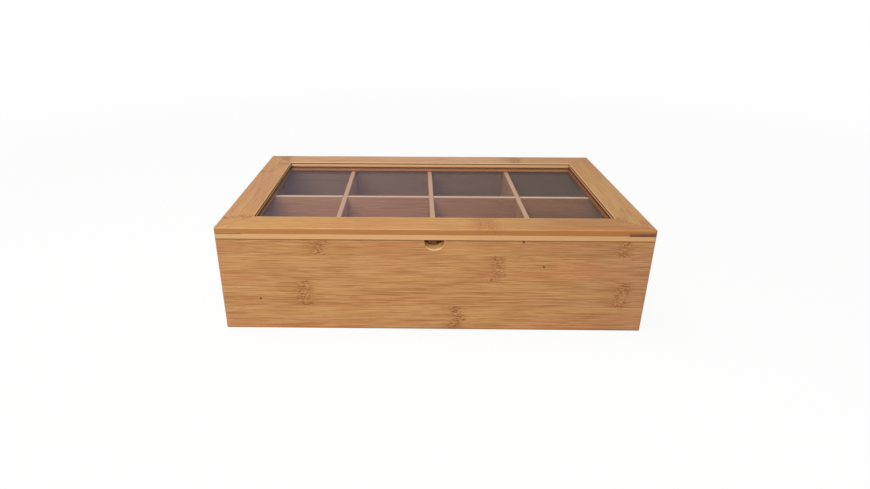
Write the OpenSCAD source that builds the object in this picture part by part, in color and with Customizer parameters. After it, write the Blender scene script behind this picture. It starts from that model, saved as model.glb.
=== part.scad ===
// Hinged tea bag box: mitred bamboo walls, eight compartments between half-lapped dividers, and a
// mitred lid frame that holds a clear pane. The origin is the middle of the underside, and the
// front faces -y.

/* [Box] */
// Outside width of box and lid, side to side
box_w = 330; // [280:5:420]
// Outside depth of box and lid, front to back
box_d = 200; // [150:5:280]
// Height of the box without its lid
body_h = 78; // [50:1:120]
// Thickness of the four wall boards
wall_t = 12; // [11:0.5:15]
// Radius that softens the outer corners and the bottom edge
arris_r = 2; // [0.5:0.1:2.5]
// Radius that softens the edges of the seam between box and lid
seam_r = 0.6; // [0.3:0.1:0.9]

/* [Floor] */
// Thickness of the floor board
floor_t = 4; // [3:0.5:6]
// Height of the floor board's underside above the table
floor_lift = 3; // [2:0.5:6]
// Depth of the floor board's groove in each wall
floor_groove = 4; // [3:0.5:6]

/* [Dividers] */
// Thickness of the divider strips
divider_t = 4; // [3:0.5:7]
// Distance of the divider tops below the wall tops
divider_drop = 0.5; // [0.3:0.1:10]
// Radius that softens the divider tops
divider_arris_r = 0.5; // [0.3:0.1:1]
// Depth of the housings for the divider ends in the walls
housing_depth = 2.5; // [1.5:0.5:4]

/* [Thumb notch] */
// Radius of the thumb notch in the front wall
notch_r = 7.8; // [6:0.1:12]
// Depth of the thumb notch below the wall top
notch_depth = 7.9; // [7.5:0.1:16]
// Width of the bevel round the notch's front edge
notch_bevel = 0.3; // [0.2:0.1:1]

/* [Lid] */
// Thickness of the lid frame
lid_t = 9; // [8.5:0.5:12]
// Width of the lid frame's rails and stiles
rail_w = 24.5; // [20:0.5:40]
// Radius that softens the lid's outer top edge
lid_arris_r = 1.2; // [0.5:0.1:1.5]
// Radius that softens the edges of the window opening
window_arris_r = 0.8; // [0.3:0.1:1]
// Thickness of the clear pane
pane_t = 2; // [1.5:0.5:3]
// Height of the pane's underside above the lid's underside
pane_lift = 2.5; // [2:0.1:3]
// Depth of the pane's groove in the frame
pane_groove = 5; // [3:0.5:6]

/* [Corner keys] */
// Length of a key along each face of its corner
key_leg = 20.5; // [12:0.5:22]
// Thickness of a key
key_t = 2.6; // [1.5:0.1:3]
// Height of a key's underside above the lid's underside
key_lift = 3.9; // [3.5:0.1:4]

/* [Hinges] */
// Distance of each hinge's middle from the nearer side of the box
hinge_from_side = 55; // [40:1:65]
// Length of a hinge along its pin
hinge_len = 25; // [20:1:32]
// Width of a leaf from the pin's axis to its free edge
leaf_w = 7.5; // [7:0.1:7.8]
// Thickness of a leaf
leaf_t = 1; // [0.8:0.1:1.2]
// Distance of the pin's axis from the back face
pin_inset = 3; // [2.6:0.1:3.2]
// Radius of the hinge pin
pin_r = 1; // [0.8:0.1:1.2]
// Radius of the hinge knuckles
knuckle_r = 2; // [1.8:0.1:2.2]
// Angle at which the rear bevels stop the lid
open_angle = 95; // [90:1:110]

/* [Hinge screws] */
// Radius of a screw's shank
screw_r = 0.8; // [0.6:0.05:0.9]
// Length of a screw with its head
screw_len = 6; // [4:0.5:6.5]
// Radius of a screw's countersunk head
screw_head_r = 1.6; // [1.4:0.05:1.7]
// Distance between the two screws of a leaf
screw_pitch = 14; // [11:0.5:15]
// Distance of the screws from the pin's axis
screw_from_pin = 5; // [4.6:0.1:5.2]

/* [Clearances] */
// Gap on each side of a divider in its housings and half-laps
divider_gap = 0.1; // [0.05:0.05:0.2]
// Gap beyond the ends of the dividers, the floor board and the pane
end_gap = 0.4; // [0.2:0.1:0.8]
// Gap above the floor board and the pane in their grooves
groove_gap = 0.2; // [0.1:0.05:0.3]
// Gap round a leaf in its recess
leaf_gap = 0.2; // [0.1:0.05:0.3]
// Gap between neighbouring knuckles
knuckle_gap = 0.2; // [0.1:0.05:0.3]
// Gap between the barrel and the wood or leaf round it
barrel_gap = 0.3; // [0.2:0.05:0.4]
// Radial gap of the pin and the screws in their holes
pin_gap = 0.05; // [0.02:0.01:0.1]
// Angle left between the rear bevels at the stop
stop_gap_angle = 0.5; // [0.2:0.1:1]

/* [Hidden] */

$fn = 48;
// How far a cut runs past the face it opens on
over = 1;

wall_bamboo = "#c08b59";
lid_bamboo = "#cc9560";
divider_bamboo = "#c0997a";
key_bamboo = "#8a5733";
clear_pane = [0.62, 0.66, 0.68, 0.35];
leaf_brass = "#b99545";
screw_brass = "#9c7c38";

inner_w = box_w - 2 * wall_t;
inner_d = box_d - 2 * wall_t;
floor_top = floor_lift + floor_t;

columns = 4;
column_pitch = (inner_w + divider_t) / columns;
divider_h = body_h - divider_drop - floor_top;
housing_w = divider_t + 2 * divider_gap;
lap_h = divider_h / 2 + divider_gap;
divider_reach = housing_depth - end_gap;

notch_axis_z = body_h - notch_depth + notch_r;

pin_y = box_d / 2 - pin_inset;
hinge_x = box_w / 2 - hinge_from_side;
bevel_angle = (open_angle + stop_gap_angle) / 2;

knuckles = 5;
box_knuckles = [0, 2, 4];
lid_knuckles = [1, 3];
knuckle_len = (hinge_len - (knuckles - 1) * knuckle_gap) / knuckles;
pin_head_r = (pin_r + knuckle_r) / 2;
pin_head_h = 0.6;
pin_head_ease = 0.2;

screw_head_h = screw_head_r - screw_r;
screw_sink = 0.05;
screw_tip_h = 1.5 * screw_r;
driver_slot_w = 0.4;
driver_slot_h = 0.3;

// Board with ends cut at 45 degrees: outer face on y = 0, inner face on y = depth, foot on z = 0
module mitred_board(length, depth, height) {
    linear_extrude(height)
        polygon([
            [-length / 2, 0],
            [length / 2, 0],
            [length / 2 - depth, depth],
            [-length / 2 + depth, depth]
        ]);
}

// What rounding takes off an edge along x at the origin, where the board lies on the +y, +z side
module edge_waste(length, r) {
    difference() {
        translate([-length / 2, -over, -over])
            cube([length, r + over, r + over]);
        translate([-length / 2 - over, r, r])
            rotate([0, 90, 0])
            cylinder(r = r, h = length + 2 * over);
    }
}

// What rounding takes off an upright corner at the origin, where the board lies on the +x, +y side
module corner_waste(height, r) {
    difference() {
        translate([-over, -over, -over])
            cube([r + over, r + over, height + 2 * over]);
        translate([r, r, -2 * over])
            cylinder(r = r, h = height + 4 * over);
    }
}

// Rounding of both outer corners of a board of this length
module board_corners_waste(length, height, r) {
    translate([-length / 2, 0, 0])
        corner_waste(height, r);
    translate([length / 2, 0, 0])
        rotate(90)
        corner_waste(height, r);
}

// The four sides of the box: each turns a board to face outwards there
module at_front() {
    translate([0, -box_d / 2, 0])
        children();
}

module at_back() {
    translate([0, box_d / 2, 0])
        rotate(180)
        children();
}

module at_left() {
    translate([-box_w / 2, 0, 0])
        rotate(-90)
        children();
}

module at_right() {
    translate([box_w / 2, 0, 0])
        rotate(90)
        children();
}

// Wall board with the groove for the floor and rounded outer edges
module wall_board(length) {
    difference() {
        mitred_board(length, wall_t, body_h);
        translate([-length / 2, wall_t - floor_groove, floor_lift])
            cube([length, floor_groove + over, floor_t + groove_gap]);
        edge_waste(length, arris_r);
        translate([0, 0, body_h])
            mirror([0, 0, 1])
            edge_waste(length, seam_r);
        board_corners_waste(length, body_h, arris_r);
    }
}

// Housing for one divider end, cut down from the wall's top
module housing() {
    translate([-housing_w / 2, wall_t - housing_depth, floor_top])
        cube([housing_w, housing_depth + over, body_h - floor_top + over]);
}

// Housings for the three cross dividers
module cross_housings() {
    for (column = [-1, 0, 1])
        translate([column * column_pitch, 0, 0])
            housing();
}

// Round-bottomed cut through the front wall, bevelled at its front edge
module notch_waste() {
    translate([0, -over, notch_axis_z])
        rotate([-90, 0, 0])
        cylinder(r = notch_r, h = wall_t + 2 * over);
    translate([-notch_r, -over, notch_axis_z])
        cube([2 * notch_r, wall_t + 2 * over, body_h]);
    translate([0, 0, notch_axis_z])
        rotate([-90, 0, 0])
        cylinder(r1 = notch_r + notch_bevel, r2 = notch_r, h = notch_bevel);
}

// Wedge behind the pin's axis that the lid swings through, below the seam
module rear_bevel_waste() {
    wedge_w = pin_inset + over;
    translate([-box_w / 2 - over, pin_y, body_h])
        rotate([90, 0, 90])
        linear_extrude(box_w + 2 * over)
        polygon([[0, 0], [wedge_w, -wedge_w * tan(bevel_angle)], [wedge_w, over], [0, over]]);
}

// The same wedge above the seam
module lid_bevel_waste() {
    translate([0, 0, 2 * body_h])
        mirror([0, 0, 1])
        rear_bevel_waste();
}

// Both hinge places, with the pin's axis along x through the origin
module at_hinges() {
    for (side = [-1, 1])
        translate([side * hinge_x, pin_y, body_h])
            children();
}

// Both screw places of a leaf, with the leaf's face on z = 0
module at_screws() {
    for (side = [-1, 1])
        translate([side * screw_pitch / 2, -screw_from_pin, 0])
            children();
}

// Countersunk hole for one screw, through a leaf and into the wood under it
module screw_hole() {
    head_r = screw_head_r + pin_gap;
    shank_r = screw_r + pin_gap;
    depth = screw_sink + screw_len + end_gap;
    rotate_extrude()
        polygon([
            [0, over],
            [head_r, over],
            [head_r, -screw_sink],
            [shank_r, -screw_sink - screw_head_h],
            [shank_r, -depth],
            [0, -depth]
        ]);
}

// Recess for one leaf, its screws and the barrel, below the seam
module hinge_seat_waste() {
    barrel_len = hinge_len + 2 * (pin_head_h + leaf_gap);
    translate([-hinge_len / 2 - leaf_gap, -leaf_w - leaf_gap, -leaf_t])
        cube([hinge_len + 2 * leaf_gap, leaf_w + leaf_gap, leaf_t + over]);
    translate([-barrel_len / 2, 0, 0])
        rotate([0, 90, 0])
        cylinder(r = knuckle_r + barrel_gap, h = barrel_len);
    at_screws()
        screw_hole();
}

module front_panel() {
    color(wall_bamboo)
        difference() {
            at_front()
                wall_board(box_w);
            at_front()
                cross_housings();
            at_front()
                notch_waste();
        }
}

module back_panel() {
    color(wall_bamboo)
        difference() {
            at_back()
                wall_board(box_w);
            at_back()
                cross_housings();
            rear_bevel_waste();
            at_hinges()
                hinge_seat_waste();
        }
}

module left_side_panel() {
    color(wall_bamboo)
        difference() {
            at_left()
                wall_board(box_d);
            at_left()
                housing();
            rear_bevel_waste();
        }
}

module right_side_panel() {
    color(wall_bamboo)
        difference() {
            at_right()
                wall_board(box_d);
            at_right()
                housing();
            rear_bevel_waste();
        }
}

module floor_panel() {
    reach = floor_groove - end_gap;
    color(wall_bamboo)
        translate([-inner_w / 2 - reach, -inner_d / 2 - reach, floor_lift])
        cube([inner_w + 2 * reach, inner_d + 2 * reach, floor_t]);
}

// Divider strip along x with a softened top edge, standing on z = 0
module divider_strip(length) {
    difference() {
        translate([-length / 2, -divider_t / 2, 0])
            cube([length, divider_t, divider_h]);
        translate([0, -divider_t / 2, divider_h])
            mirror([0, 0, 1])
            edge_waste(length, divider_arris_r);
        translate([0, divider_t / 2, divider_h])
            rotate([180, 0, 0])
            edge_waste(length, divider_arris_r);
    }
}

// Slot of a half-lap, from z = 0 upwards
module lap_waste() {
    translate([-housing_w / 2, -divider_t, 0])
        cube([housing_w, 2 * divider_t, lap_h + over]);
}

module long_divider() {
    color(divider_bamboo)
        translate([0, 0, floor_top])
        difference() {
            divider_strip(inner_w + 2 * divider_reach);
            for (column = [-1, 0, 1])
                translate([column * column_pitch, 0, divider_h - lap_h])
                    lap_waste();
        }
}

module cross_divider(column) {
    color(divider_bamboo)
        translate([column * column_pitch, 0, floor_top])
        rotate(90)
        difference() {
            divider_strip(inner_d + 2 * divider_reach);
            translate([0, 0, -over])
                lap_waste();
        }
}

module cross_divider_left() {
    cross_divider(-1);
}

module cross_divider_middle() {
    cross_divider(0);
}

module cross_divider_right() {
    cross_divider(1);
}

// Plan of a corner key: the corner at the origin, its legs along +x and +y
module key_plan(margin) {
    polygon([[-margin, -margin], [key_leg + margin, -margin], [-margin, key_leg + margin]]);
}

// Slot for a key at one end of a lid board
module key_slot_waste() {
    translate([0, 0, key_lift])
        linear_extrude(key_t)
        key_plan(over);
}

// Board of the lid frame with the pane's groove, the key slots and rounded edges
module frame_board(length) {
    difference() {
        mitred_board(length, rail_w, lid_t);
        translate([-length / 2, rail_w - pane_groove, pane_lift])
            cube([length, pane_groove + over, pane_t + groove_gap]);
        edge_waste(length, seam_r);
        translate([0, 0, lid_t])
            mirror([0, 0, 1])
            edge_waste(length, lid_arris_r);
        translate([0, rail_w, lid_t])
            rotate([180, 0, 0])
            edge_waste(length, window_arris_r);
        translate([0, rail_w, 0])
            mirror([0, 1, 0])
            edge_waste(length, window_arris_r);
        board_corners_waste(length, lid_t, arris_r);
        translate([-length / 2, 0, 0])
            key_slot_waste();
        translate([length / 2, 0, 0])
            rotate(90)
            key_slot_waste();
    }
}

module lid_front_rail() {
    color(lid_bamboo)
        translate([0, 0, body_h])
        at_front()
        frame_board(box_w);
}

module lid_back_rail() {
    color(lid_bamboo)
        difference() {
            translate([0, 0, body_h])
                at_back()
                frame_board(box_w);
            lid_bevel_waste();
            at_hinges()
                mirror([0, 0, 1])
                hinge_seat_waste();
        }
}

module lid_left_stile() {
    color(lid_bamboo)
        difference() {
            translate([0, 0, body_h])
                at_left()
                frame_board(box_d);
            lid_bevel_waste();
        }
}

module lid_right_stile() {
    color(lid_bamboo)
        difference() {
            translate([0, 0, body_h])
                at_right()
                frame_board(box_d);
            lid_bevel_waste();
        }
}

// Key at the corner in the direction (side_x, side_y), turned so that its legs follow the frame
module lid_key(side_x, side_y, turn) {
    color(key_bamboo)
        translate([side_x * box_w / 2, side_y * box_d / 2, body_h + key_lift])
        rotate(turn)
        difference() {
            linear_extrude(key_t)
                key_plan(0);
            corner_waste(key_t, arris_r);
        }
}

module lid_key_front_left() {
    lid_key(-1, -1, 0);
}

module lid_key_front_right() {
    lid_key(1, -1, 90);
}

module lid_key_back_left() {
    lid_key(-1, 1, 270);
}

module lid_key_back_right() {
    lid_key(1, 1, 180);
}

module window_pane() {
    margin = rail_w - pane_groove + end_gap;
    color(clear_pane)
        translate([-box_w / 2 + margin, -box_d / 2 + margin, body_h + pane_lift])
        cube([box_w - 2 * margin, box_d - 2 * margin, pane_t]);
}

// Leaf below the seam, with its own knuckles round the pin's axis
module leaf(own_knuckles) {
    difference() {
        union() {
            translate([-hinge_len / 2, -leaf_w, -leaf_t])
                cube([hinge_len, leaf_w - knuckle_r - barrel_gap, leaf_t]);
            for (place = own_knuckles)
                translate([-hinge_len / 2 + place * (knuckle_len + knuckle_gap), 0, 0]) {
                    rotate([0, 90, 0])
                        cylinder(r = knuckle_r, h = knuckle_len);
                    translate([0, -leaf_w, -leaf_t])
                        cube([knuckle_len, leaf_w, leaf_t]);
                }
        }
        translate([-hinge_len / 2 - over, 0, 0])
            rotate([0, 90, 0])
            cylinder(r = pin_r + pin_gap, h = hinge_len + 2 * over);
        at_screws()
            screw_hole();
    }
}

module box_leaf(side) {
    color(leaf_brass)
        translate([side * hinge_x, pin_y, body_h])
        leaf(box_knuckles);
}

module lid_leaf(side) {
    color(leaf_brass)
        translate([side * hinge_x, pin_y, body_h])
        mirror([0, 0, 1])
        leaf(lid_knuckles);
}

// Pin with an upset head at each end of the barrel
module hinge_pin(side) {
    shank_end = hinge_len / 2;
    head_end = shank_end + pin_head_h;
    color(leaf_brass)
        translate([side * hinge_x, pin_y, body_h])
        rotate([0, 90, 0])
        rotate_extrude()
        polygon([
            [0, -head_end],
            [pin_head_r - pin_head_ease, -head_end],
            [pin_head_r, -head_end + pin_head_ease],
            [pin_head_r, -shank_end],
            [pin_r, -shank_end],
            [pin_r, shank_end],
            [pin_head_r, shank_end],
            [pin_head_r, head_end - pin_head_ease],
            [pin_head_r - pin_head_ease, head_end],
            [0, head_end]
        ]);
}

module hinge_left_box_leaf() {
    box_leaf(-1);
}

module hinge_left_lid_leaf() {
    lid_leaf(-1);
}

module hinge_left_pin() {
    hinge_pin(-1);
}

module hinge_right_box_leaf() {
    box_leaf(1);
}

module hinge_right_lid_leaf() {
    lid_leaf(1);
}

module hinge_right_pin() {
    hinge_pin(1);
}

// Countersunk screw with a driver slot, its head just under z = 0 and its point down
module hinge_screw() {
    difference() {
        translate([0, 0, -screw_sink])
            rotate_extrude()
            polygon([
                [0, 0],
                [screw_head_r, 0],
                [screw_r, -screw_head_h],
                [screw_r, -screw_len + screw_tip_h],
                [0, -screw_len]
            ]);
        translate([-screw_head_r - over, -driver_slot_w / 2, -screw_sink - driver_slot_h])
            cube([2 * (screw_head_r + over), driver_slot_w, driver_slot_h + over]);
    }
}

module hinge_box_screws() {
    color(screw_brass)
        at_hinges()
        at_screws()
        hinge_screw();
}

module hinge_lid_screws() {
    color(screw_brass)
        at_hinges()
        mirror([0, 0, 1])
        at_screws()
        hinge_screw();
}

front_panel();
back_panel();
left_side_panel();
right_side_panel();
floor_panel();
long_divider();
cross_divider_left();
cross_divider_middle();
cross_divider_right();
lid_front_rail();
lid_back_rail();
lid_left_stile();
lid_right_stile();
lid_key_front_left();
lid_key_front_right();
lid_key_back_left();
lid_key_back_right();
window_pane();
hinge_left_box_leaf();
hinge_left_lid_leaf();
hinge_left_pin();
hinge_right_box_leaf();
hinge_right_lid_leaf();
hinge_right_pin();
hinge_box_screws();
hinge_lid_screws();
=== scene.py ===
"""Looks of a bamboo tea bag box with a window lid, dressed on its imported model.

Lengths are in metres, and names that end in _mm or _MM hold millimetres. The front faces -y.
A share says how far one tone covers what lies under it, from 0 to 1.
"""
import math
import random
from typing import NamedTuple

import bpy
from mathutils import Matrix, Vector

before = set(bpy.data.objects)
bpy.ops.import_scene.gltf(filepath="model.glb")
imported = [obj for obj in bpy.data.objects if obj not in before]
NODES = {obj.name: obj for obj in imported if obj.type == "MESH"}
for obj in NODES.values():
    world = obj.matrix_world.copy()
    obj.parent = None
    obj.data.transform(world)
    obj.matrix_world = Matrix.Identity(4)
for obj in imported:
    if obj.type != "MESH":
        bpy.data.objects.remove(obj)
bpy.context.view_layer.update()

MM = 0.001
M_TO_MM = 1000.0

# The camera stands low before the box and looks down on its lid
PHOTO_W_PX = 870
LENS_MM = 24.355
SENSOR_MM = 36.0
CAMERA_PLACE = (-0.014713, -0.502905, 0.253667)
CAMERA_PITCH_DEG = 23.97
CAMERA_YAW_DEG = 0.77
CAMERA_ROLL_DEG = 0.10
AXIS_COLUMN_PX = 406.9
MIDDLE_COLUMN_PX = 434.5
CLIP_START = 0.01

# How strongly the surroundings light the box, where 1 is how bright they look
FILL_LIGHT = 0.40

# Half the floor's side, how far it is plain white near the box, and where it starts to turn all
# white and is so
FLOOR_HALF = 40.0
FLOOR_WHITENESS = 0.92
FLOOR_FADE_START = 0.4
FLOOR_FADE_END = 1.6

# A board's directions: along the grain, across the strips and into the board
UPRIGHT_ALONG_X = ("X", "Z", "Y")
UPRIGHT_ALONG_Y = ("Y", "Z", "X")
FLAT_ALONG_X = ("X", "Y", "Z")
FLAT_ALONG_Y = ("Y", "X", "Z")

# Where the faces and edges of the CAD lie, from the middle of the box or from the table up
HALF_SIZE_MM = {"X": 165.0, "Y": 100.0}
FRONT_FACE_MM = -100.0
BACK_INSIDE_MM = 88.0
SIDE_INSIDE_MM = 153.0
SEAM_MM = 78.0
DIVIDER_TOP_MM = 77.5
LONG_END_MM = 155.1
CROSS_END_MM = 90.1
NOTCH_R_MM = 7.8
NOTCH_AXIS_MM = 77.9
NOTCH_REAR_MM = -90.0
WINDOW_HALF_MM = {"X": 140.5, "Y": 75.5}
PANE_FOOT_MM = 80.5
PANE_TOP_MM = 82.5
LID_TOP_MM = 87.0

# The lid's boards are two plies, glued at this height. Their outer face lies beyond
# OUTER_FROM_MM from the window's edge, and what is seen inside it within INNER_TO_MM
PLY_JOINT_MM = 82.25
OUTER_FROM_MM = 20.0
INNER_TO_MM = 8.0

# Painted bands of light and shade on the edge at the window, from the pane up: the height where
# each starts and where it is full, and its share
PAINTED_EDGE_BANDS = ((82.8, 83.0, 1.0), (83.7, 84.0, 1.0), (85.1, 85.4, 1.0), (86.1, 86.5, 0.8))

# From knuckle to knuckle along the cane, how wide its strips are, and the glue between them
CANE_PERIOD_MM = 236.0
WALL_STRIP_MM = 21.75
RAIL_STRIP_MM = 26.0
LEFT_STILE_STRIP_MM = 12.5
RIGHT_STILE_STRIP_MM = 8.3
KEY_STRIP_MM = 60.0
GLUE_LINE_MM = 0.35

# The dividers' lowest strip was cut narrower, so its own edge would lie below the table
DIVIDER_FIRST_EDGE_MM = -8.0

# Far more whole periods than a board has, so that the count of them stays positive
WHOLE_PERIODS = 64.0

# Each board and each strip takes its own stretch of the noise
BOARD_SHIFT_MM = 91.3
STRIP_SHIFT_MM = 37.7

# Noise drawn out along the grain: length and width in mm, and detail
CLOUDS = (110.0, 26.0, 0.0)
BROAD_STREAKS = (240.0, 4.5, 1.0)
LONG_FIBRES = (65.0, 1.1, 1.0)
SHORT_FIBRES = (26.0, 0.6, 0.0)
FIBRE_TIPS = (9.0, 0.55, 0.0)
HUE_PATCHES = (100.0, 12.0, 1.0)
SWAY = (130.0, 20.0, 0.0)
RIPPLE = (6.0, 4.0, 0.0)
COLUMN_WAVE = (400.0, 6.0, 0.0)
DASHES = (2.0, 0.75, 0.0)
BRASS_SCRATCHES = (6.0, 0.25, 1.0)
BRASS_CLOUDS = (5.0, 4.0, 1.0)

# From end to end of what the noise moves: the fibres, those at a knuckle and its column of dashes
SWAY_SWING_MM = 2.0
RIPPLE_SWING_MM = 3.2
WAVE_SWING_MM = 10.0

# Weights of the fibre layers, from wide to fine, in the mix of a board's tones
CLOUD_WEIGHT = 0.16
BROAD_WEIGHT = 0.18
LONG_WEIGHT = 0.28
SHORT_WEIGHT = 1.30

# Bamboo tones, dark to light, as the eye meets them on each group of boards
WALL_TONES = ("#9a6637", "#b17d4c", "#bf905f")
# Painted shade: these tones take over towards the right of the front wall, as the light falls off
# from left to right
WALL_FALLOFF_SHADE_TONES = ("#8a5e40", "#9d704f", "#ad805e")
INNER_TONES = ("#ad7448", "#bb8256", "#c89468")
# Painted shade: these tones take over towards the right of the long divider, as the light falls off
INNER_FALLOFF_SHADE_TONES = ("#84532b", "#8e5d34", "#986940")
LID_TONES = ("#ae7639", "#c78e4e", "#d6a467")
# Painted shade: these tones take over towards the right of the lid's front rail, as the light falls
# off
LID_FALLOFF_SHADE_TONES = ("#925829", "#a66a37", "#b87d47")
BACK_RAIL_TONES = ("#ae7a50", "#c6966c", "#d7ab82")
# Painted shade: these tones take over towards the right of the lid's back rail, as the light falls
# off
BACK_RAIL_FALLOFF_SHADE_TONES = ("#a06a38", "#b98250", "#c99563")
STILE_TONES = ("#ad7a48", "#be8a57", "#cb9a68")
STILE_FRONT_TONES = ("#b57f47", "#c69056", "#d3a066")
RIGHT_STILE_TONES = ("#ab7b45", "#ba8951", "#c69860")
RIGHT_STILE_FAR_TONES = ("#a8743c", "#b78147", "#c38f55")
LEFT_KEY_TONES = ("#774d28", "#8f6136", "#a07040")
RIGHT_KEY_TONES = ("#522716", "#69371d", "#7b4426")

# Single tones of the bamboo's marks
REDDISH = "#c07648"
YELLOWISH = "#c69a58"
KNUCKLE_SHADE = "#9c663a"
RAIL_KNUCKLE_SHADE = "#b4702e"
DASH_DARK = "#7a4820"
DASH_LIGHT = "#e2b684"
PORE_SHADE = "#5a3010"
GLUE_TONE = "#94602f"
MITRE_SHADE = "#7a4a22"
# Painted shadow along the seam under the lid and at the foot
SEAM_PAINTED_SHADOW = "#6e3f1a"
# Partly sanding wear, partly a painted highlight where the rounded edges catch the light
ARRIS_WEAR_AND_HIGHLIGHT = "#e3b57d"
# Painted shade on the walls' inner faces, for the dim inside of the box, darker still towards the
# right of the back wall
INSIDE_PAINTED_SHADE = "#83695a"
INSIDE_FALLOFF_PAINTED_SHADE = "#4c341a"
UPPER_PLY_TONE = "#9d6736"
LOWER_PLY_TONE = "#ca9e6d"
# Painted light: the pane's groove is paler, to lift it out of its shade
GROOVE_PAINTED_LIGHT = "#e0a068"
# Painted light on the dividers' top edges, where the light from above falls
LONG_TOP_PAINTED_LIGHT = "#ecc8a4"
CROSS_TOP_PAINTED_LIGHT = "#dcae84"
# Divider ends: end grain, darker still as painted shade in the thumb notch
END_GRAIN_AND_SHADE = "#744838"
# The thumb notch: painted light on its cut, palest along its bottom, and painted shade towards the
# inside under the lid
COVE_PAINTED_LIGHT = "#ffcf90"
COVE_SIDE_PAINTED_LIGHT = "#c8935a"
COVE_REAR_PAINTED_SHADE = "#6e4426"

# The veil on the acrylic, painted bluish at the left and neutral at the right as a painted
# reflection of the room
VEIL_LEFT_REFLECTION = "#9a98b2"
VEIL_RIGHT_REFLECTION = "#9a9492"
VEIL_SHARE = 0.085
VEIL_FROM_MM = -60.0
VEIL_TO_MM = 110.0

WHITE = "#ffffff"
PAPER_TONE = "#f6f5f3"


class KnuckleLook(NamedTuple):
    """How a board's knuckles show: the shade, its trail to one side and the column of dashes."""
    width_mm: float = 9.0
    share: float = 1.0
    tone: str = KNUCKLE_SHADE
    trail_share: float = 1.0


class FarTones(NamedTuple):
    """Tones that take over along a board, from nothing at the start to the share at the end."""
    tones: tuple
    start_mm: float
    end_mm: float
    share: float = 1.0


class EdgeTones(NamedTuple):
    """Painted light and shade of a lid board at the window: the face under the pane, and the edge's
    bands.
    """
    under: str
    bands: tuple


class Board(NamedTuple):
    """How one board is cut and glued. Each strip has a knuckle place along the grain and a tone
    step, and marks add stains of the board's own."""
    axes: tuple
    tones: tuple
    knuckles_mm: tuple
    strip_tones: tuple
    first_edge_mm: float
    seed: int
    strip_mm: float = WALL_STRIP_MM
    periods_mm: tuple = ()
    look: KnuckleLook = KnuckleLook()
    far: FarTones | None = None
    marks: tuple = ()


class Spot(NamedTuple):
    """Where the shaded point lies, with lengths in mm. strip counts strips from the board's first
    edge, and row is the whole number of the strip that the point lies in."""
    place: bpy.types.NodeSocket
    along: bpy.types.NodeSocket
    across: bpy.types.NodeSocket
    deep: bpy.types.NodeSocket
    strip: bpy.types.NodeSocket
    row: bpy.types.NodeSocket


# Painted light and shade at the window's edges: pale bands are painted highlights, dark bands
# painted shadow lines, and each side's tones are lighter or darker for how the light falls there
FRONT_EDGE_LIGHT_AND_SHADE = EdgeTones("#dc9c62", ("#f0c79c", "#f0c79c", "#f0c79c", "#f4c48c"))
BACK_EDGE_LIGHT_AND_SHADE = EdgeTones("#d08a48", ("#f0bc88", "#f0c090", "#8a5a2c", "#f6cc98"))
LEFT_EDGE_LIGHT_AND_SHADE = EdgeTones("#c08a62", ("#563014", "#ffd29c", "#70401e", "#f4c892"))
RIGHT_EDGE_LIGHT_AND_SHADE = EdgeTones("#b8642c", ("#4e240e", "#f8be86", "#5e3014", "#f4c088"))


def linear(hex_colour):
    """An sRGB hex colour as linear RGBA."""
    values = [int(hex_colour[i:i + 2], 16) / 255 for i in (1, 3, 5)]
    return [v / 12.92 if v <= 0.04045 else ((v + 0.055) / 1.055) ** 2.4 for v in values] + [1.0]


def node(tree, kind, sockets=(), out=0, **settings):
    """Adds one node with its settings and links, and gives back one of its outputs."""
    made = tree.nodes.new("ShaderNode" + kind)
    for name, value in settings.items():
        setattr(made, name, value)
    for key, value in sockets.items() if isinstance(sockets, dict) else enumerate(sockets):
        if isinstance(value, bpy.types.NodeSocket):
            tree.links.new(value, made.inputs[key])
        else:
            made.inputs[key].default_value = linear(value) if isinstance(value, str) else value
    return made.outputs[out] if made.outputs else made


def new_material(name):
    """A node material with a Principled shader on its output."""
    material = bpy.data.materials.new(name)
    material.use_nodes = True
    tree = material.node_tree
    tree.nodes.clear()
    surface = node(tree, "BsdfPrincipled")
    node(tree, "OutputMaterial", [surface])
    return material, tree, surface.node


def weighed(tree, parts, total=0.0):
    """total plus each part times its weight. A weight may be a socket too."""
    for part, weight in parts:
        total = node(tree, "Math", [part, weight, total], operation="MULTIPLY_ADD")
    return total


def swing(tree, value, width):
    """A value of 0 to 1, spread evenly to both sides of 0 over a width."""
    return weighed(tree, [(value, width)], -0.5 * width)


def apart(tree, value, middle=0.0):
    """How far a value lies from the middle, without its sign."""
    gap = node(tree, "Math", [value, middle], operation="SUBTRACT")
    return node(tree, "Math", [gap], operation="ABSOLUTE")


def stained(tree, colour, stains):
    """A colour with stains laid over it in turn: each is (share, its colour)."""
    for share, stain in stains:
        colour = node(tree, "Mix", {0: share, 6: colour, 7: stain}, out=2, data_type="RGBA")
    return colour


def edge_of(tree, value, full_at, none_at, most=1.0):
    """A soft edge: most where value has reached full_at, and nothing from none_at on."""
    return node(tree, "MapRange", [value, full_at, none_at, most, 0.0],
                interpolation_type="SMOOTHSTEP")


def place_in_mm(tree):
    """The place of the shaded point on the box."""
    place = node(tree, "TexCoord", out="Object")
    return node(tree, "VectorMath", {0: place, "Scale": M_TO_MM}, operation="SCALE")


def fibre_noise(tree, place, length_mm, width_mm, detail):
    """Noise drawn out along the grain; place is (along, across, deep) in mm."""
    scale = (1 / length_mm, 1 / width_mm, 1 / width_mm)
    drawn = node(tree, "VectorMath", [place, scale], operation="MULTIPLY")
    return node(tree, "TexNoise", {"Vector": drawn, "Scale": 1.0, "Detail": detail})


def of_strip(tree, row, values):
    """The value that belongs to a strip, counted from 0 at the first edge."""
    here = [node(tree, "Math", [row, float(index), 0.5], operation="COMPARE")
            for index in range(len(values))]
    return weighed(tree, zip(here, (float(value) for value in values)))


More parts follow.
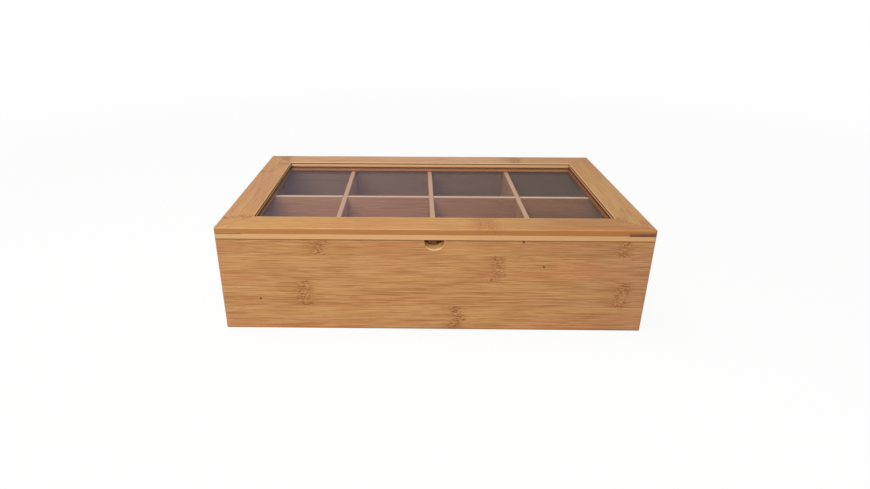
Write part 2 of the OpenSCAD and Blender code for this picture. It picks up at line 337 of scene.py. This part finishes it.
def spot_on(tree, board):
    """Where the shaded point lies on its board."""
    place = place_in_mm(tree)
    along, across, deep = (node(tree, "SeparateXYZ", [place], out=letter) for letter in board.axes)
    strip = weighed(tree, [(across, 1 / board.strip_mm)], -board.first_edge_mm / board.strip_mm)
    row = node(tree, "Math", [strip], operation="FLOOR")
    return Spot(place, along, across, deep, strip, row)


def knuckle_offset(tree, board, spot):
    """How far a point lies along the grain from its strip's nearest knuckle, in mm.

    Strips with a period of their own are measured as if it were the cane's usual one, so
    knuckles that stand closer together are shorter too.
    """
    periods = board.periods_mm or (CANE_PERIOD_MM,) * len(board.knuckles_mm)
    rate = of_strip(tree, spot.row, [1 / period for period in periods])
    phase = of_strip(tree, spot.row, [WHOLE_PERIODS + 0.5 - place / period
                                      for place, period in zip(board.knuckles_mm, periods)])
    turns = weighed(tree, [(spot.along, rate)], phase)
    turns = node(tree, "Math", [turns], operation="FRACT")
    return swing(tree, turns, CANE_PERIOD_MM)


def fibre_run(tree, board, spot, off):
    """Where to look up the noise: the plain grain, and the fibres, which sway a little along the
    board and bend at a knuckle. Each strip has its own stretch of both."""
    shift = weighed(tree, [(spot.row, STRIP_SHIFT_MM)], board.seed * BOARD_SHIFT_MM)
    own = node(tree, "CombineXYZ", [shift, 0.0, shift])
    grain = node(tree, "CombineXYZ", [spot.along, spot.across, spot.deep])
    grain = node(tree, "VectorMath", [grain, own], operation="ADD")
    near = edge_of(tree, apart(tree, off), full_at=4.0, none_at=14.0)
    sway = swing(tree, fibre_noise(tree, grain, *SWAY), SWAY_SWING_MM)
    ripple = swing(tree, fibre_noise(tree, grain, *RIPPLE), RIPPLE_SWING_MM)
    bend = node(tree, "CombineXYZ", [0.0, weighed(tree, [(ripple, near)], sway), 0.0])
    return grain, node(tree, "VectorMath", [grain, bend], operation="ADD")


def tones_along(tree, board, spot):
    """The board's dark, middle and light tone at this place along the grain."""
    if not board.far:
        return board.tones
    far = edge_of(tree, spot.along, board.far.end_mm, board.far.start_mm, board.far.share)
    return [stained(tree, tone, [(far, there)])
            for tone, there in zip(board.tones, board.far.tones)]


def hue_drift(tree, grain):
    """The hue drifts from yellowish to reddish in patches."""
    patch = fibre_noise(tree, grain, *HUE_PATCHES)
    return [(edge_of(tree, patch, full_at=0.70, none_at=0.50, most=0.25), REDDISH),
            (edge_of(tree, patch, full_at=0.30, none_at=0.50, most=0.25), YELLOWISH)]


def fibre_tips(tree, fibres, dark, light):
    """Single fibre ends show as short crisp lines."""
    tip = fibre_noise(tree, fibres, *FIBRE_TIPS)
    return [(edge_of(tree, tip, full_at=0.27, none_at=0.40, most=0.45), dark),
            (edge_of(tree, tip, full_at=0.73, none_at=0.60, most=0.35), light)]


def knuckle_shade(tree, look, off, streaks):
    """A knuckle's shade, which trails off in streaks to one side."""
    trail = edge_of(tree, off, full_at=-4.0, none_at=-20.0, most=look.trail_share)
    foot = edge_of(tree, off, full_at=2.0, none_at=9.0, most=look.share)
    streaky = edge_of(tree, streaks, full_at=0.35, none_at=0.62, most=0.8)
    return [(weighed(tree, [(weighed(tree, [(trail, foot)]), streaky)]), look.tone)]


def knuckle_dashes(tree, look, off, grain, fibres):
    """A knuckle's wavy column of small slanted dashes, dark and light, on some more shade. Gives
    back where the dark ones lie, and the stains."""
    wave = swing(tree, fibre_noise(tree, grain, *COLUMN_WAVE), WAVE_SWING_MM)
    column = apart(tree, node(tree, "Math", [off, wave], operation="ADD"))
    column = edge_of(tree, column, 0.25 * look.width_mm, 0.75 * look.width_mm, look.share)
    dashes = fibre_noise(tree, fibres, *DASHES)
    dark = edge_of(tree, dashes, full_at=0.34, none_at=0.44, most=0.80)
    dark = weighed(tree, [(column, dark)])
    light = edge_of(tree, dashes, full_at=0.72, none_at=0.60, most=0.25)
    return dark, [(weighed(tree, [(column, 0.35)]), look.tone), (dark, DASH_DARK),
                  (weighed(tree, [(column, light)]), DASH_LIGHT)]


def glue_line(tree, board, spot):
    """A hairline glue joint between two strips."""
    in_strip = node(tree, "Math", [spot.strip], operation="FRACT")
    off_middle = apart(tree, in_strip, 0.5)
    width = GLUE_LINE_MM / board.strip_mm
    return [(edge_of(tree, off_middle, full_at=0.5, none_at=0.5 - width, most=0.4), GLUE_TONE)]


def wear_and_painted_light(tree, spot):
    """Edges are lighter, partly from the sanding, which leaves less lacquer there, and partly as a
    painted highlight where the rounded edges catch the light. The seam under the lid and the foot
    are painted darker, as painted shadow in the gap under the lid and where the box meets the
    table."""
    facing = node(tree, "TexCoord", out="Normal")
    facing = node(tree, "VectorMath", [facing], operation="ABSOLUTE")
    parts = [node(tree, "SeparateXYZ", [facing], out=letter) for letter in "XYZ"]
    flatness = node(tree, "Math", parts[:2], operation="MAXIMUM")
    flatness = node(tree, "Math", [flatness, parts[2]], operation="MAXIMUM")
    height = node(tree, "SeparateXYZ", [spot.place], out="Z")
    seam = apart(tree, height, SEAM_MM)
    return [(edge_of(tree, flatness, full_at=0.85, none_at=0.99, most=0.15), ARRIS_WEAR_AND_HIGHLIGHT),
            (edge_of(tree, seam, full_at=0.35, none_at=0.8, most=0.65), SEAM_PAINTED_SHADOW),
            (edge_of(tree, height, full_at=0.9, none_at=2.2, most=0.6), SEAM_PAINTED_SHADOW)]


def bamboo(name, board):
    """Bamboo: split cane planed to strips and glued edge to edge, sanded, with thin satin lacquer.

    The eye sees short fine fibres, strips of slightly different tone with hairline glue joints,
    and on each strip a knuckle every 23 cm or so: a darker patch with rows of small slanted dashes.
    The fibres are 0.4 mm bundles, drawn about twice as coarse, so that they show.
    """
    material, tree, shader = new_material(name)
    spot = spot_on(tree, board)
    off = knuckle_offset(tree, board, spot)
    grain, fibres = fibre_run(tree, board, spot, off)
    clouds = fibre_noise(tree, grain, *CLOUDS)
    broad = fibre_noise(tree, fibres, *BROAD_STREAKS)
    long = fibre_noise(tree, fibres, *LONG_FIBRES)
    short = fibre_noise(tree, fibres, *SHORT_FIBRES)

    layers = ((clouds, CLOUD_WEIGHT), (broad, BROAD_WEIGHT),
              (long, LONG_WEIGHT), (short, SHORT_WEIGHT))
    level = weighed(tree, layers, 0.5 - 0.5 * sum(weight for _, weight in layers))
    step = of_strip(tree, spot.row, board.strip_tones)
    level = node(tree, "Math", [level, step], operation="ADD")
    dark, middle, light = tones_along(tree, board, spot)
    dents, dashes = knuckle_dashes(tree, board.look, off, grain, fibres)
    stains = [(edge_of(tree, level, full_at=0.15, none_at=0.5), dark),
              (edge_of(tree, level, full_at=0.85, none_at=0.5), light),
              *hue_drift(tree, grain), *fibre_tips(tree, fibres, dark, light),
              *knuckle_shade(tree, board.look, off, long), *dashes,
              *glue_line(tree, board, spot), *wear_and_painted_light(tree, spot)]
    for mark in board.marks:
        stains += mark(tree, spot)
    colour = stained(tree, middle, stains)

    relief = weighed(tree, ((long, 0.5), (short, 0.5), (dents, -0.2)))
    bump = node(tree, "Bump", {"Height": relief, "Strength": 0.3, "Distance": 0.12 * MM})
    rough = node(tree, "MapRange", [short, 0.2, 0.8, 0.46, 0.62])
    tree.links.new(colour, shader.inputs["Base Color"])
    tree.links.new(rough, shader.inputs["Roughness"])
    tree.links.new(bump, shader.inputs["Normal"])
    shader.inputs["IOR"].default_value = 1.45
    shader.inputs["Specular IOR Level"].default_value = 0.3
    return material


def mitre_joint(axes):
    """A hairline of glue where a board's mitred end meets its neighbour."""
    along, across, deep = axes
    lies_flat = deep == "Z"
    lead_mm = HALF_SIZE_MM[along] - HALF_SIZE_MM[across if lies_flat else deep]

    def stains(tree, spot):
        other = apart(tree, spot.across if lies_flat else spot.deep)
        off = weighed(tree, [(other, 1.0), (apart(tree, spot.along), -1.0)], lead_mm)
        return [(edge_of(tree, apart(tree, off), full_at=0.15, none_at=0.6, most=0.6), MITRE_SHADE)]
    return stains


def pore(place_mm, radius_mm):
    """A single dark speck in a board's face; its place is (along, across, deep)."""
    def stains(tree, spot):
        here = node(tree, "CombineXYZ", [spot.along, spot.across, spot.deep])
        away = node(tree, "VectorMath", [here, place_mm], out="Value", operation="DISTANCE")
        return [(edge_of(tree, away, full_at=0.7 * radius_mm, none_at=radius_mm), PORE_SHADE)]
    return stains


def cove_painted_light_and_shade(tree, spot):
    """The thumb notch's cut is painted pale, as painted light where it lies in the lid's shade:
    palest along its bottom, which runs with the fibres, and darker on its sides, where their ends
    show.
    Towards the inside it is painted dark, as painted shade under the lid."""
    low = node(tree, "Math", [spot.across, NOTCH_AXIS_MM], operation="MINIMUM")
    here = node(tree, "CombineXYZ", [spot.along, low, 0.0])
    out_mm = node(tree, "VectorMath", [here, (0.0, NOTCH_AXIS_MM, 0.0)], out="Value",
                  operation="DISTANCE")
    cut = edge_of(tree, out_mm, NOTCH_R_MM + 0.2, NOTCH_R_MM + 0.5)
    bottom = edge_of(tree, spot.across, NOTCH_AXIS_MM - 0.95 * NOTCH_R_MM,
                     NOTCH_AXIS_MM - 0.5 * NOTCH_R_MM)
    rear = edge_of(tree, spot.deep, NOTCH_REAR_MM, NOTCH_REAR_MM - 2.0, most=0.8)
    return [(cut, COVE_SIDE_PAINTED_LIGHT),
            (weighed(tree, [(cut, bottom)]), COVE_PAINTED_LIGHT),
            (weighed(tree, [(cut, rear)]), COVE_REAR_PAINTED_SHADE)]


def painted_inside_shade(inside_mm, fade_mm=None):
    """A wall's inner face is painted darker and greyer, as painted shade for the dim inside of the
    box.
    fade_mm is where along the wall it starts to darken further, as painted shade towards the right,
    and where it ends."""
    def stains(tree, spot):
        inside_shade = edge_of(tree, apart(tree, spot.deep), inside_mm + 0.3, inside_mm + 0.8, most=0.6)
        if not fade_mm:
            return [(inside_shade, INSIDE_PAINTED_SHADE)]
        start_mm, end_mm = fade_mm
        far = weighed(tree, [(inside_shade, edge_of(tree, spot.along, end_mm, start_mm))])
        return [(inside_shade, INSIDE_PAINTED_SHADE), (far, INSIDE_FALLOFF_PAINTED_SHADE)]
    return stains


def plies_and_painted_window_edge(window_edge_mm, tones):
    """The lid's boards are two plies with the darker one above. At the window their edge has
    painted
    light and shade: a tone for the arris, for three bands down to the pane and for the face under
    the pane, and in the pane's groove a paler tone, as painted light in the groove's shade."""
    def stains(tree, spot):
        reach = apart(tree, spot.across)
        outer_mm = window_edge_mm + OUTER_FROM_MM
        outer = edge_of(tree, reach, outer_mm + 2.0, outer_mm)
        upper = weighed(tree, [(edge_of(tree, spot.deep, PLY_JOINT_MM + 0.15, PLY_JOINT_MM - 0.15),
                                edge_of(tree, spot.deep, LID_TOP_MM - 0.9, LID_TOP_MM - 0.3,
                                        most=0.8))])
        lower = edge_of(tree, spot.deep, PLY_JOINT_MM - 0.15, PLY_JOINT_MM + 0.15, most=0.8)

        planed = edge_of(tree, reach, window_edge_mm + 0.1, window_edge_mm + 1.0)
        bands = [(weighed(tree, [(edge_of(tree, spot.deep, full_at, none_at, most), planed)]), tone)
                 for (none_at, full_at, most), tone in zip(PAINTED_EDGE_BANDS, tones.bands)]

        inner_mm = window_edge_mm + INNER_TO_MM
        inner = edge_of(tree, reach, inner_mm - 2.0, inner_mm)
        groove = weighed(tree, [(edge_of(tree, spot.deep, PANE_FOOT_MM, PANE_FOOT_MM - 0.2),
                                 edge_of(tree, spot.deep, PANE_TOP_MM + 0.2, PANE_TOP_MM + 0.4,
                                         most=0.9))])
        under = edge_of(tree, spot.deep, PANE_FOOT_MM, PANE_FOOT_MM + 0.2, most=0.9)
        return [(weighed(tree, [(upper, outer)]), UPPER_PLY_TONE),
                (weighed(tree, [(lower, outer)]), LOWER_PLY_TONE),
                *bands,
                (weighed(tree, [(groove, inner)]), GROOVE_PAINTED_LIGHT),
                (weighed(tree, [(under, inner)]), tones.under)]
    return stains


def painted_lit_top(tone):
    """A divider's top edge is sawn and sanded, and painted lighter than its faces, as painted light
    where the light from above falls on it.
    """
    def stains(tree, spot):
        top = edge_of(tree, spot.across, DIVIDER_TOP_MM - 0.1, DIVIDER_TOP_MM - 0.5, most=0.8)
        return [(top, tone)]
    return stains


def end_grain_and_painted_shade(end_mm):
    """A divider's end, which shows in the thumb notch: cut fibres, darker than the faces, and
    darker still as painted shade in the notch.
    """
    def stains(tree, spot):
        end = edge_of(tree, apart(tree, spot.along), end_mm - 0.1, end_mm - 0.6, most=0.85)
        return [(end, END_GRAIN_AND_SHADE)]
    return stains


def clear_acrylic():
    """Polished clear acrylic sheet: a faint reflection of the room, and a light smoky veil over
    what lies under it, whose tint runs from bluish at the left to neutral at the right as a painted
    reflection of the room."""
    material, tree, shader = new_material("acrylic_clear_polished")
    across = node(tree, "SeparateXYZ", [place_in_mm(tree)], out="X")
    right = edge_of(tree, across, VEIL_TO_MM, VEIL_FROM_MM)
    veil = stained(tree, VEIL_LEFT_REFLECTION, [(right, VEIL_RIGHT_REFLECTION)])
    tree.links.new(veil, shader.inputs["Base Color"])
    shader.inputs["Roughness"].default_value = 0.03
    shader.inputs["IOR"].default_value = 1.49
    shader.inputs["Alpha"].default_value = VEIL_SHARE
    return material


def brass(name, dull, bright, roughness):
    """Stamped or turned brass, brushed and left bare: warm metal with fine scratches and clouds of
    tarnish. The scratches are hair-fine, and drawn coarser so that they show."""
    material, tree, shader = new_material(name)
    place = place_in_mm(tree)
    scratches = fibre_noise(tree, place, *BRASS_SCRATCHES)
    clouds = fibre_noise(tree, place, *BRASS_CLOUDS)
    colour = stained(tree, dull, [(edge_of(tree, clouds, full_at=0.65, none_at=0.35), bright)])
    spread = node(tree, "MapRange", [scratches, 0.2, 0.8, roughness - 0.08, roughness + 0.12])
    bump = node(tree, "Bump", {"Height": scratches, "Strength": 0.2, "Distance": 0.02 * MM})
    tree.links.new(colour, shader.inputs["Base Color"])
    tree.links.new(spread, shader.inputs["Roughness"])
    tree.links.new(bump, shader.inputs["Normal"])
    shader.inputs["Metallic"].default_value = 1.0
    return material


def dress(node_name, material):
    """Gives a CAD node its material."""
    slots = NODES[node_name].data.materials
    slots.clear()
    slots.append(material)


def any_strips(seed, count, step=0.08):
    """For each strip a knuckle place along the cane's period and a tone step, by chance."""
    places, steps = random.Random(seed), random.Random(seed + 100)
    return (tuple(places.uniform(0, CANE_PERIOD_MM) for _ in range(count)),
            tuple(steps.uniform(-step, step) for _ in range(count)))


def frame_board(axes, tones, edge_tones, knuckles_mm, **cut):
    """A board of the lid's frame, whose strips are alike in tone."""
    marks = (plies_and_painted_window_edge(WINDOW_HALF_MM[axes[1]], edge_tones), mitre_joint(axes))
    return Board(axes, tones, knuckles_mm, (0.0,) * len(knuckles_mm), marks=marks, **cut)


def dress_walls():
    """The front's knuckles and pores lie where the photo shows them."""
    specks = (pore((-135.0, 27.4, FRONT_FACE_MM), 1.0), pore((83.7, 56.5, FRONT_FACE_MM), 0.9),
              pore((66.7, 77.1, FRONT_FACE_MM), 1.1))
    dress("front_panel", bamboo("bamboo_front_wall", Board(
        UPRIGHT_ALONG_X, WALL_TONES, knuckles_mm=(18.5, -99.5, 48.0, -87.0),
        periods_mm=(240.0, 245.5, 236.0, 230.0), strip_tones=(0.08, 0.01, 0.03, -0.04),
        # Painted shade: the wall darkens towards the right, where less light falls
        first_edge_mm=0.0, seed=1, far=FarTones(WALL_FALLOFF_SHADE_TONES, 20.0, 170.0, 0.45),
        marks=(*specks, cove_painted_light_and_shade, mitre_joint(UPRIGHT_ALONG_X)))))
    dress("back_panel", bamboo("bamboo_back_wall", Board(
        UPRIGHT_ALONG_X, WALL_TONES, *any_strips(2, 4), first_edge_mm=0.0, seed=2,
        marks=(painted_inside_shade(BACK_INSIDE_MM, fade_mm=(-90.0, 150.0)), mitre_joint(UPRIGHT_ALONG_X)))))
    for side, seed in (("left", 3), ("right", 4)):
        dress(side + "_side_panel", bamboo("bamboo_%s_wall" % side, Board(
            UPRIGHT_ALONG_Y, WALL_TONES, *any_strips(seed, 4), first_edge_mm=0.0, seed=seed,
            marks=(painted_inside_shade(SIDE_INSIDE_MM), mitre_joint(UPRIGHT_ALONG_Y)))))
    dress("floor_panel", bamboo("bamboo_floor", Board(
        FLAT_ALONG_X, WALL_TONES, *any_strips(5, 9), first_edge_mm=-95.0, seed=5)))


def dress_dividers():
    dress("long_divider", bamboo("bamboo_long_divider", Board(
        UPRIGHT_ALONG_X, INNER_TONES, *any_strips(6, 4), first_edge_mm=DIVIDER_FIRST_EDGE_MM,
        # Painted shade: the divider darkens towards the right, where less light falls
        seed=6, look=KnuckleLook(share=0.35), far=FarTones(INNER_FALLOFF_SHADE_TONES, -90.0, 150.0),
        marks=(painted_lit_top(LONG_TOP_PAINTED_LIGHT), end_grain_and_painted_shade(LONG_END_MM)))))
    for place, seed in (("left", 7), ("middle", 8), ("right", 9)):
        dress("cross_divider_" + place, bamboo("bamboo_cross_divider_" + place, Board(
            UPRIGHT_ALONG_Y, INNER_TONES, *any_strips(seed, 4),
            first_edge_mm=DIVIDER_FIRST_EDGE_MM, seed=seed, look=KnuckleLook(share=0.6),
            marks=(painted_lit_top(CROSS_TOP_PAINTED_LIGHT), end_grain_and_painted_shade(CROSS_END_MM)))))


def dress_lid():
    """The frame's knuckles lie where the photo shows them."""
    dress("lid_front_rail", bamboo("bamboo_lid_front_rail", frame_board(
        FLAT_ALONG_X, LID_TONES, FRONT_EDGE_LIGHT_AND_SHADE, (39.0,), first_edge_mm=-100.5, seed=11,
        strip_mm=RAIL_STRIP_MM, look=KnuckleLook(18.0, 0.9, RAIL_KNUCKLE_SHADE),
        # Painted shade: the rail darkens towards the right, where less light falls
        far=FarTones(LID_FALLOFF_SHADE_TONES, -20.0, 130.0, 0.75))))
    dress("lid_back_rail", bamboo("bamboo_lid_back_rail", frame_board(
        FLAT_ALONG_X, BACK_RAIL_TONES, BACK_EDGE_LIGHT_AND_SHADE, (88.0,), first_edge_mm=75.0, seed=12,
        # Painted shade: the rail darkens towards the right, where less light falls
        strip_mm=RAIL_STRIP_MM, far=FarTones(BACK_RAIL_FALLOFF_SHADE_TONES, 20.0, 150.0))))
    dress("lid_left_stile", bamboo("bamboo_lid_left_stile", frame_board(
        FLAT_ALONG_Y, STILE_TONES, LEFT_EDGE_LIGHT_AND_SHADE, (-79.0, -77.0), first_edge_mm=-165.2, seed=13,
        strip_mm=LEFT_STILE_STRIP_MM, periods_mm=(122.0, 147.4),
        look=KnuckleLook(trail_share=0.3), far=FarTones(STILE_FRONT_TONES, -40.0, -80.0))))
    dress("lid_right_stile", bamboo("bamboo_lid_right_stile", frame_board(
        FLAT_ALONG_Y, RIGHT_STILE_TONES, RIGHT_EDGE_LIGHT_AND_SHADE, (-76.0, -60.0, -84.0),
        first_edge_mm=140.2, seed=14, strip_mm=RIGHT_STILE_STRIP_MM,
        look=KnuckleLook(share=0.45), far=FarTones(RIGHT_STILE_FAR_TONES, -20.0, 90.0))))
    for seed, corner in enumerate(("front_left", "front_right", "back_left", "back_right"), 21):
        tones = RIGHT_KEY_TONES if corner.endswith("right") else LEFT_KEY_TONES
        dress("lid_key_" + corner, bamboo("bamboo_key_" + corner, Board(
            FLAT_ALONG_X, tones, (0.0,), (0.0,), first_edge_mm=-200.0, seed=seed,
            strip_mm=KEY_STRIP_MM)))
    dress("window_pane", clear_acrylic())


def dress_hinges():
    stamped = brass("brass_stamped_brushed", "#a68a50", "#c4a869", roughness=0.34)
    drawn = brass("brass_drawn_pin", "#a1834a", "#bb9c5c", roughness=0.3)
    turned = brass("brass_turned_screw", "#8f6f36", "#b08c49", roughness=0.38)
    for side in ("left", "right"):
        dress("hinge_%s_box_leaf" % side, stamped)
        dress("hinge_%s_lid_leaf" % side, stamped)
        dress("hinge_%s_pin" % side, drawn)
    for name in ("hinge_box_screws", "hinge_lid_screws"):
        dress(name, turned)


def seen_directly(tree):
    """1 for the rays that show the surroundings to the camera, also by way of gloss and glass."""
    camera, glossy, through = (node(tree, "LightPath", out="Is %s Ray" % kind)
                               for kind in ("Camera", "Glossy", "Transmission"))
    either = node(tree, "Math", [camera, glossy], operation="MAXIMUM")
    return node(tree, "Math", [either, through], operation="MAXIMUM")


def hang_lamp(name, place, aim, sides, watts):
    """A soft rectangular lamp that doesn't show itself to the camera."""
    lamp = bpy.data.lights.new(name, "AREA")
    lamp.shape = "RECTANGLE"
    lamp.size, lamp.size_y = sides
    lamp.energy = watts
    holder = bpy.data.objects.new(name, lamp)
    bpy.context.scene.collection.objects.link(holder)
    holder.location = place
    holder.rotation_euler = (Vector(aim) - holder.location).to_track_quat("-Z", "Y").to_euler()
    holder.visible_camera = False


def light_the_room():
    """Even pale surroundings that read as white behind the box, a soft lamp almost straight above
    it, and one before it at half that height, which lights the front and the thumb notch."""
    world = bpy.data.worlds.new("studio")
    bpy.context.scene.world = world
    world.use_nodes = True
    tree = world.node_tree
    tree.nodes.clear()
    strength = weighed(tree, [(seen_directly(tree), 1.0 - FILL_LIGHT)], FILL_LIGHT)
    node(tree, "OutputWorld", [node(tree, "Background", [WHITE, strength])])
    hang_lamp("high_lamp", place=(-0.25, -0.05, 1.15), aim=(0, 0, 0.05), sides=(0.8, 0.5),
              watts=4.8)
    hang_lamp("front_lamp", place=(-0.25, -1.05, 0.62), aim=(0, 0, 0.06), sides=(0.6, 0.2),
              watts=6.75)


def lay_the_floor():
    """White paper under the box: it reads as white, keeps a light shadow of the box, and further
    out runs into the white surroundings."""
    mesh = bpy.data.meshes.new("floor")
    corners = [(x * FLOOR_HALF, y * FLOOR_HALF, 0) for x, y in ((-1, -1), (1, -1), (1, 1), (-1, 1))]
    mesh.from_pydata(corners, [], [(0, 1, 2, 3)])
    floor = bpy.data.objects.new("floor", mesh)
    bpy.context.scene.collection.objects.link(floor)
    material, tree, shader = new_material("paper_matt_white")
    shader.inputs["Base Color"].default_value = linear(PAPER_TONE)
    shader.inputs["Roughness"].default_value = 0.9
    place = node(tree, "TexCoord", out="Object")
    out = node(tree, "VectorMath", [place], out="Value", operation="LENGTH")
    share = node(tree, "MapRange", [out, FLOOR_FADE_START, FLOOR_FADE_END, FLOOR_WHITENESS, 1.0],
                 interpolation_type="SMOOTHSTEP")
    share = node(tree, "Math", [seen_directly(tree), share], operation="MULTIPLY")
    white = node(tree, "Emission", [WHITE, 1.0])
    blend = node(tree, "MixShader", [share, shader.outputs[0], white])
    output = next(made for made in tree.nodes if made.type == "OUTPUT_MATERIAL")
    tree.links.new(blend, output.inputs["Surface"])
    mesh.materials.append(material)


def place_the_camera():
    data = bpy.data.cameras.new("camera")
    data.sensor_width = SENSOR_MM
    data.sensor_fit = "HORIZONTAL"
    data.lens = LENS_MM
    data.shift_x = (MIDDLE_COLUMN_PX - AXIS_COLUMN_PX) / PHOTO_W_PX
    data.clip_start = CLIP_START
    camera = bpy.data.objects.new("camera", data)
    bpy.context.scene.collection.objects.link(camera)
    turn = Matrix.Rotation(math.radians(CAMERA_YAW_DEG), 4, "Z")
    tilt = Matrix.Rotation(math.radians(90 - CAMERA_PITCH_DEG), 4, "X")
    roll = Matrix.Rotation(math.radians(CAMERA_ROLL_DEG), 4, "Z")
    camera.matrix_world = Matrix.Translation(CAMERA_PLACE) @ turn @ tilt @ roll
    bpy.context.scene.camera = camera


place_the_camera()
lay_the_floor()
light_the_room()
dress_walls()
dress_dividers()
dress_lid()
dress_hinges()
bpy.context.scene.view_settings.view_transform = "Standard"
